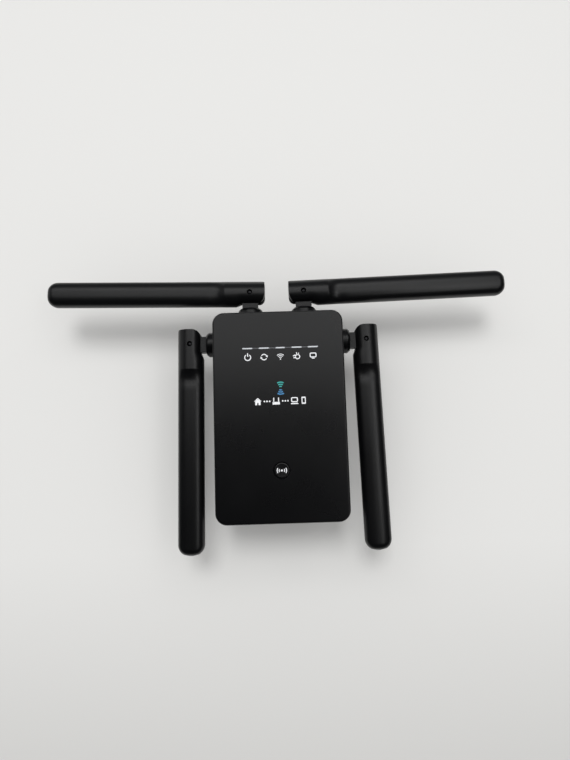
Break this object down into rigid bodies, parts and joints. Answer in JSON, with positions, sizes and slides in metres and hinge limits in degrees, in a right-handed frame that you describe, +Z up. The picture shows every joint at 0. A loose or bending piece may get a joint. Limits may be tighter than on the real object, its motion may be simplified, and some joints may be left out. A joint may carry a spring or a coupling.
{
  "type": "wifi range extender",
  "caption": "Plug-in wireless range extender with swivelling, folding antennas, a pairing button and network sockets.",
  "frame": {"origin": "centre of the plug's face, which rests against the wall outlet", "axes": "+Z up, -Y out of the wall towards the user, +X to the right seen from the front"},
  "size_m": [0.2428, 0.0465, 0.1433],
  "materials": {
    "case_black": "fine satin grain",
    "light_white": "milky translucent",
    "board_green": "solder mask",
    "shield_tin": "tin plated",
    "pad_blue": "soft pad",
    "sink_aluminium": "plain",
    "led_white": "clear",
    "switch_black": "matt",
    "socket_grey": "satin",
    "blade_nickel": "nickel plated brass",
    "contact_copper": "plain",
    "core_ferrite": "ferrite",
    "coil_tape": "polyester tape",
    "coil_wire": "enamelled wire",
    "capacitor_sleeve": "shrink sleeve",
    "fuse_ceramic": "ceramic",
    "screw_steel": "zinc plated",
    "label_silver": "blank foil label",
    "lead_black": "cable jacket",
    "button_black": "satin",
    "stem_white": "plain",
    "antenna_black": "soft-touch",
    "pin_steel": "plain"
  },
  "bodies": {
    "housing": {"front_cover": "case_black", "rear_cover": "case_black", "light_guide": "light_white", "main_board": "board_green", "wifi_shield": "shield_tin", "thermal_pad": "pad_blue", "heat_sink": "sink_aluminium", "status_leds": "led_white", "pair_switch": "switch_black", "reset_switch": "switch_black", "wan_jack": "socket_grey", "lan_jack": "socket_grey", "plug_carrier": "case_black", "plug_blade_left": "blade_nickel", "plug_blade_right": "blade_nickel", "blade_contact_left": "contact_copper", "blade_contact_right": "contact_copper", "power_board": "board_green", "transformer_core": "core_ferrite", "transformer_coil": "coil_tape", "mains_capacitor": "capacitor_sleeve", "output_capacitors": "capacitor_sleeve", "fuse": "fuse_ceramic", "rectifier": "switch_black", "choke": "coil_wire", "board_link": "socket_grey", "case_screws": "screw_steel", "board_screws": "screw_steel", "power_screws": "screw_steel", "rating_label": "label_silver", "antenna_lead_top_left": "lead_black", "antenna_lead_top_right": "lead_black", "antenna_lead_side_left": "lead_black", "antenna_lead_side_right": "lead_black"},
    "pair_key": {"pair_button": "button_black", "pair_switch_stem": "stem_white"},
    "reset_key": {"reset_plunger": "stem_white"},
    "foot_top_left": {"antenna_base_top_left": "antenna_black", "retaining_ring_top_left": "screw_steel"},
    "arm_top_left": {"antenna_shell_top_left": "antenna_black", "hinge_pin_top_left": "pin_steel", "antenna_element_top_left": "board_green"},
    "foot_top_right": {"antenna_base_top_right": "antenna_black", "retaining_ring_top_right": "screw_steel"},
    "arm_top_right": {"antenna_shell_top_right": "antenna_black", "hinge_pin_top_right": "pin_steel", "antenna_element_top_right": "board_green"},
    "foot_side_left": {"antenna_base_side_left": "antenna_black", "retaining_ring_side_left": "screw_steel"},
    "arm_side_left": {"antenna_shell_side_left": "antenna_black", "hinge_pin_side_left": "pin_steel", "antenna_element_side_left": "board_green"},
    "foot_side_right": {"antenna_base_side_right": "antenna_black", "retaining_ring_side_right": "screw_steel"},
    "arm_side_right": {"antenna_shell_side_right": "antenna_black", "hinge_pin_side_right": "pin_steel", "antenna_element_side_right": "board_green"}
  },
  "joints": [
    {"name": "pair_button_press", "type": "slide", "parent": "housing", "child": "pair_key", "axis": [0, 1, 0], "range_m": [0, 0.0006], "stiffness_N_per_m": 1200, "springref_m": -0.0004},
    {"name": "reset_press", "type": "slide", "parent": "housing", "child": "reset_key", "axis": [0, 0, 1], "range_m": [0, 0.0003], "stiffness_N_per_m": 2500, "springref_m": -0.0003},
    {"name": "top_left_swivel", "type": "hinge", "parent": "housing", "child": "foot_top_left", "pos_m": [-0.0141, -0.0155, 0.0447], "axis": [0, 0, 1], "range_deg": [-90, 90]},
    {"name": "top_left_fold", "type": "hinge", "parent": "foot_top_left", "child": "arm_top_left", "pos_m": [-0.0141, -0.0155, 0.0574], "axis": [0, 1, 0], "range_deg": [-1.5, 88.5]},
    {"name": "top_right_swivel", "type": "hinge", "parent": "housing", "child": "foot_top_right", "pos_m": [0.0141, -0.0155, 0.0447], "axis": [0, 0, -1], "range_deg": [-90, 90]},
    {"name": "top_right_fold", "type": "hinge", "parent": "foot_top_right", "child": "arm_top_right", "pos_m": [0.0141, -0.0155, 0.0574], "axis": [0, -1, 0], "range_deg": [-1.25, 88.75]},
    {"name": "side_left_swivel", "type": "hinge", "parent": "housing", "child": "foot_side_left", "pos_m": [-0.033, -0.0155, 0.0308], "axis": [-1, 0, 0], "range_deg": [-90, 135]},
    {"name": "side_left_fold", "type": "hinge", "parent": "foot_side_left", "child": "arm_side_left", "pos_m": [-0.0457, -0.0155, 0.0308], "axis": [0, 1, 0], "range_deg": [-0.5, 89.5]},
    {"name": "side_right_swivel", "type": "hinge", "parent": "housing", "child": "foot_side_right", "pos_m": [0.033, -0.0155, 0.0308], "axis": [-1, 0, 0], "range_deg": [-90, 135]},
    {"name": "side_right_fold", "type": "hinge", "parent": "foot_side_right", "child": "arm_side_right", "pos_m": [0.0457, -0.0155, 0.0308], "axis": [0, -1, 0], "range_deg": [-1, 89]}
  ]
}
